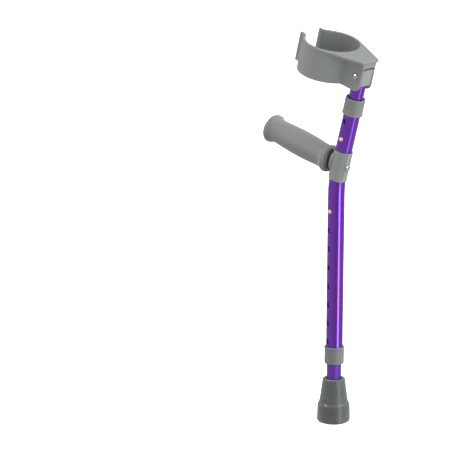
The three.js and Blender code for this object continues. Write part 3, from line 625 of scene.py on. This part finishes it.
def collar(name, place, length):
    """A collar's skin: its lip at the bottom, a bead round the main tube's end of it."""
    bore = MAIN_RADIUS + GAP
    outer = bore + COLLAR_WALL
    lip = INNER_RADIUS + GAP
    mouth = bore - COLLAR_WALL * 0.4
    bead = outer + COLLAR_BEAD
    profile = [
        (mouth, 0.25),
        (mouth + 0.25, 0),
        (outer - 1.0, 0),
        (outer - 0.55, 0.2),
        (outer - 0.2, 0.6),
        (outer - 0.04, 1.2),
        (outer, 2.0),
        (outer, length - 2.9),
        (outer + 0.06, length - 2.6),
        (bead - 0.12, length - 2.25),
        (bead, length - 1.95),
        (bead, length - 0.75),
        (bead - 0.55, length - 0.12),
        (bead - 0.72, length),
        (bore + 0.45, length),
        (bore, length - 0.5),
        (bore, 2.7),
        (lip, 2.7),
        (lip, 1.5),
        (lip + 0.3, 1.2),
        (mouth - 0.25, 1.2),
        (mouth, 0.95),
    ]
    return lathe(name, profile, place, "Z", 128, 32)


low, high = span("lower_collar", 2)
lower = collar("lower_collar_skin", Matrix.Translation((0, 0, low * MM)), high - low)
dressed(lower, [fitting_plastic], "main", "grey_plastic", "lower_collar")
low, high = along_upper("upper_collar")
flipped = upper @ Matrix.Translation((0, 0, high * MM)) @ Matrix.Rotation(math.pi, 4, "X")
top_collar = collar("upper_collar_skin", flipped, high - low)
dressed(top_collar, [fitting_plastic], "main", "grey_plastic", "upper_collar")

# ---------- Rubber tip ----------

def tip_sole(base):
    """The tip's underside from its middle out, with two ring grooves and a rounded edge."""
    profile = [(0, 0)]
    width = base * 0.09
    for inner in (base * 0.5, base * 0.72):
        profile += [(inner, 0), (inner + width * 0.3, TREAD_DEPTH)]
        profile += [(inner + width * 0.7, TREAD_DEPTH), (inner + width, 0)]
    for i in range(9):
        angle = math.pi / 2 * i / 8
        radius = base - TIP_FOOT_ROUND + TIP_FOOT_ROUND * math.sin(angle)
        profile.append((radius, TIP_FOOT_ROUND - TIP_FOOT_ROUND * math.cos(angle)))
    return profile


def tip_mouth(mouth, top):
    """The tip's rounded top edge, and its bore with the flare round the leg tube."""
    profile = []
    for i in range(7):
        angle = math.pi / 2 * i / 6
        radius = mouth - TIP_MOUTH_ROUND + TIP_MOUTH_ROUND * math.cos(angle)
        profile.append((radius, top - TIP_MOUTH_ROUND + TIP_MOUTH_ROUND * math.sin(angle)))
    bore = INNER_RADIUS + GAP
    profile += [
        (bore + TIP_MOUTH_FLARE + 0.25, top),
        (bore + TIP_MOUTH_FLARE - 0.15, top - 0.25),
        (bore + 0.1, top - 3.4),
        (bore, top - 3.8),
        (bore, TIP_FLOOR),
        (0, TIP_FLOOR),
    ]
    return profile


def tip_outline(base, top):
    """The whole tip's section, from the middle of its sole to the middle of its bore's floor."""
    mouth = INNER_RADIUS + TIP_WALL
    foot = mouth + TIP_TAPER
    rim = base - TIP_RIM_DRAFT
    shoulder = [
        (rim, TIP_RIM_HEIGHT - 1),
        (rim - 0.1, TIP_RIM_HEIGHT + 0.5),
        (rim - 0.6, TIP_RIM_HEIGHT + 1.9),
        (rim - 1.35, TIP_RIM_HEIGHT + 2.9),
        (foot + 0.6, TIP_RIM_HEIGHT + 3.9),
        (foot + 0.12, TIP_RIM_HEIGHT + 5.4),
        (foot - 0.2, TIP_RIM_HEIGHT + 7.4),
    ]
    profile = tip_sole(base) + [(base - 0.06, 7), (base - 0.25, 14)]
    profile += smooth_line(shoulder, 4)
    profile += [(mouth + 2.35, 38), (mouth + 1.05, 48)]
    return profile + tip_mouth(mouth, top)


tip_profile = tip_outline(span("rubber_tip", 0)[1], span("rubber_tip", 2)[1])
tip = lathe("rubber_tip_skin", tip_profile, None, "Z", 128, 50)
dressed(tip, [tip_material], "leg", "dark_rubber", "rubber_tip")

# ---------- Grip ----------

def grip_outline(length):
    """The grip's section, from the blind end of its bore out and round to its far end."""
    outline = [
        (16.1, 0.0),
        (17.3, 0.35),
        (18.3, 1.5),
        (18.7, 3.2),
        (18.3, 5.2),
        (17.2, 7.2),
        (16.35, 9.4),
        (15.95, 12.5),
        (16.25, 20),
        (16.9, 32),
        (17.4, 44),
        (17.5, length / 2 - 4),
        (17.3, length - 46),
        (16.75, length - 34),
        (16.15, length - 23),
        (15.95, length - 17.5),
        (16.5, length - 13),
        (17.7, length - 9.6),
        (18.9, length - 7),
        (19.2, length - 5),
        (18.9, length - 3.4),
        (17.9, length - 2.1),
        (15.5, length - 1.2),
        (10, length - 0.45),
        (0, length),
    ]
    blind = length - GRIP_END_WALL
    bore = [(0, blind), (GRIP_BORE, blind), (GRIP_BORE, 0.6), (GRIP_BORE + 0.6, 0.0)]
    return bore + smooth_line(outline, 4)


grip_low, grip_high = reach("hand_grip", grip_frame, 0)
grip_place = grip_frame @ Matrix.Translation((grip_low * MM, 0, 0))
grip_profile = grip_outline(grip_high - grip_low)
grip = lathe("hand_grip_skin", grip_profile, grip_place, "X", 128, 50)
dressed(grip, [grip_vinyl], "main", "grey_grip", "hand_grip")

bracket = softened("grip_bracket_skin", "grip_bracket", 0.36, 6)
dressed(bracket, [bracket_plastic], "main", "grey_plastic", "grip_bracket")
spacer = bevelled("grip_spacer_skin", "grip_spacer", 0.5)
dressed(spacer, [spacer_rubber], "main", "black_rubber", "grip_spacer")
bolt = bevelled("grip_bolt_skin", "grip_bolt", 0.15, 50)
dressed(bolt, [bright_steel], "main", "steel", "grip_bolt")

# ---------- Cuff and pivot ----------

cuff = softened("cuff_skin", "cuff", 0.55, 5)
dressed(cuff, [cuff_plastic], "cuff_body", "grey_plastic", "cuff")
block = bevelled("pivot_block_skin", "pivot_block", 0.5)
dressed(block, [cuff_plastic], "forearm", "grey_plastic", "pivot_block")
pin = bevelled("pivot_pin_skin", "pivot_pin", 0.12, 60)
dressed(pin, [bright_steel], "cuff_body", "steel", "pivot_pin")

# ---------- Inner pieces that keep their CAD shape ----------

for node, material in (
    ("tip_washer", bright_steel),
    ("grip_core", inner_plastic),
    ("grip_nut", bright_steel),
    ("leg_spring", spring_steel),
    ("cuff_spring", spring_steel),
    ("pivot_washer", bright_steel),
):
    materials = frame["nodes"][node].data.materials
    materials.clear()
    materials.append(material)

# ---------- Floor, light and camera ----------

BRIGHT_WALL = 1.0
COOL = 0.85  # red in the narrow bright wall, which is a little blue
# A ring of studio walls: the heading in degrees from +X, and how bright the wall is there.
WALLS = (
    (-180, BRIGHT_WALL),
    (-173, BRIGHT_WALL),
    (-167, 0.12),
    (-120, 0.11),
    (-60, 0.11),
    (0, 0.11),
    (60, 0.115),
    (105, 0.105),
    (128, 0.086),
    (158, 0.078),
    (168, 0.09),
    (172, BRIGHT_WALL),
    (180, BRIGHT_WALL),
)


def studio_floor():
    """A pale floor that is left out of reflections and of bounced light."""
    bpy.ops.mesh.primitive_plane_add(size=40)
    floor = bpy.context.object
    floor.name = "floor"
    n = Nodes("pale_floor")
    n.socket("Base Color", n.blend(n.noise(3, 2), (0.93, 0.93, 0.93), (0.95, 0.95, 0.95)))
    n.socket("Roughness", 0.9)
    n.socket("Emission Color", (1, 1, 1, 1))
    n.socket("Emission Strength", 0.62)
    floor.data.materials.append(n.material)
    floor.visible_glossy = False
    floor.visible_diffuse = False


def wall_colour(level):
    return (level * (COOL if level == BRIGHT_WALL else 1), level, level, 1)


def wall_ramp(tree, heading):
    """The walls' colours over a heading in radians."""
    share = tree.nodes.new("ShaderNodeMapRange")
    share.inputs["From Min"].default_value = -math.pi
    share.inputs["From Max"].default_value = math.pi
    tree.links.new(heading, share.inputs["Value"])
    ramp = tree.nodes.new("ShaderNodeValToRGB")
    tree.links.new(share.outputs[0], ramp.inputs["Fac"])
    ramp.color_ramp.interpolation = "LINEAR"
    stops = ramp.color_ramp.elements
    while len(stops) > 1:
        stops.remove(stops[-1])
    stops[0].position = 0.0
    stops[0].color = wall_colour(WALLS[0][1])
    for angle, level in WALLS[1:]:
        stops.new((angle + 180) / 360).color = wall_colour(level)
    return ramp.outputs["Color"]


def studio_world():
    """The ring of walls, with a dim ground below it."""
    world = bpy.data.worlds.new("studio")
    bpy.context.scene.world = world
    world.use_nodes = True
    tree = world.node_tree
    background = tree.nodes["Background"]
    direction = tree.nodes.new("ShaderNodeTexCoord").outputs["Generated"]
    parts = tree.nodes.new("ShaderNodeSeparateXYZ")
    tree.links.new(direction, parts.inputs[0])
    heading = tree.nodes.new("ShaderNodeMath")
    heading.operation = "ARCTAN2"
    tree.links.new(parts.outputs["Y"], heading.inputs[0])
    tree.links.new(parts.outputs["X"], heading.inputs[1])
    walls = wall_ramp(tree, heading.outputs[0])
    ground = tree.nodes.new("ShaderNodeMapRange")
    ground.inputs["From Min"].default_value = -0.3
    ground.inputs["From Max"].default_value = -0.75
    tree.links.new(parts.outputs["Z"], ground.inputs["Value"])
    joined = tree.nodes.new("ShaderNodeMix")
    joined.data_type = "RGBA"
    joined.inputs[7].default_value = (0.13, 0.13, 0.13, 1)
    tree.links.new(ground.outputs[0], joined.inputs[0])
    tree.links.new(walls, joined.inputs[6])
    tree.links.new(joined.outputs[2], background.inputs["Color"])
    background.inputs["Strength"].default_value = 3.2


def softbox(name, heading, rise, distance, size, power, height=0.3, glossy=False, diffuse=True):
    """A soft lamp at a heading and a rise in degrees, aimed at a height on the object."""
    aim = Vector((0, 0, height))
    turn, up = math.radians(heading), math.radians(rise)
    away = Vector((math.cos(turn) * math.cos(up), math.sin(turn) * math.cos(up), math.sin(up)))
    light = bpy.data.lights.new(name, "AREA")
    light.shape = "RECTANGLE"
    light.size = light.size_y = size
    light.energy = power
    lamp = linked(name, light)
    lamp.location = aim + away * distance
    lamp.rotation_mode = "QUATERNION"
    lamp.rotation_quaternion = (-away).to_track_quat("-Z", "Y")
    lamp.visible_camera = False
    lamp.visible_glossy = glossy
    lamp.visible_diffuse = diffuse


studio_floor()
studio_world()
softbox("top", 60, 84, 1.9, 2.2, 42)
softbox("left", 12, 6, 2.0, 1.0, 20.5, 0.3)
softbox("low_left", 48, 0, 0.5, 0.14, 0.5, 0.085)
softbox("right", 222, 8, 2.0, 0.8, 37)
softbox("front", 128, -6, 0.8, 0.4, 2.5, 0.5)
softbox("glint_left", 66, 32, 2.0, 0.24, 15, 0.05, True, False)
softbox("glint_right", 195, 32, 2.0, 0.2, 9, 0.05, True, False)

CAMERA_PLACE = Vector((-2.7995, 3.1506, 1.353))
CAMERA_AHEAD = Vector((0.66790, -0.70124, -0.24934))
CAMERA_ROLL = math.radians(0.265)
CAMERA_LENS = 264.65  # millimetres on a sensor 36 wide
camera_data = bpy.data.cameras.new("camera")
camera_data.sensor_width = 36
camera_data.lens = CAMERA_LENS
camera_data.clip_end = 100
camera = linked("camera", camera_data)
camera.rotation_mode = "QUATERNION"
camera.location = CAMERA_PLACE
aimed = CAMERA_AHEAD.to_track_quat("-Z", "Y").to_matrix().to_4x4()
camera.rotation_quaternion = (aimed @ Matrix.Rotation(CAMERA_ROLL, 4, "Z")).to_quaternion()
bpy.context.scene.camera = camera
bpy.context.scene.view_settings.view_transform = "Standard"
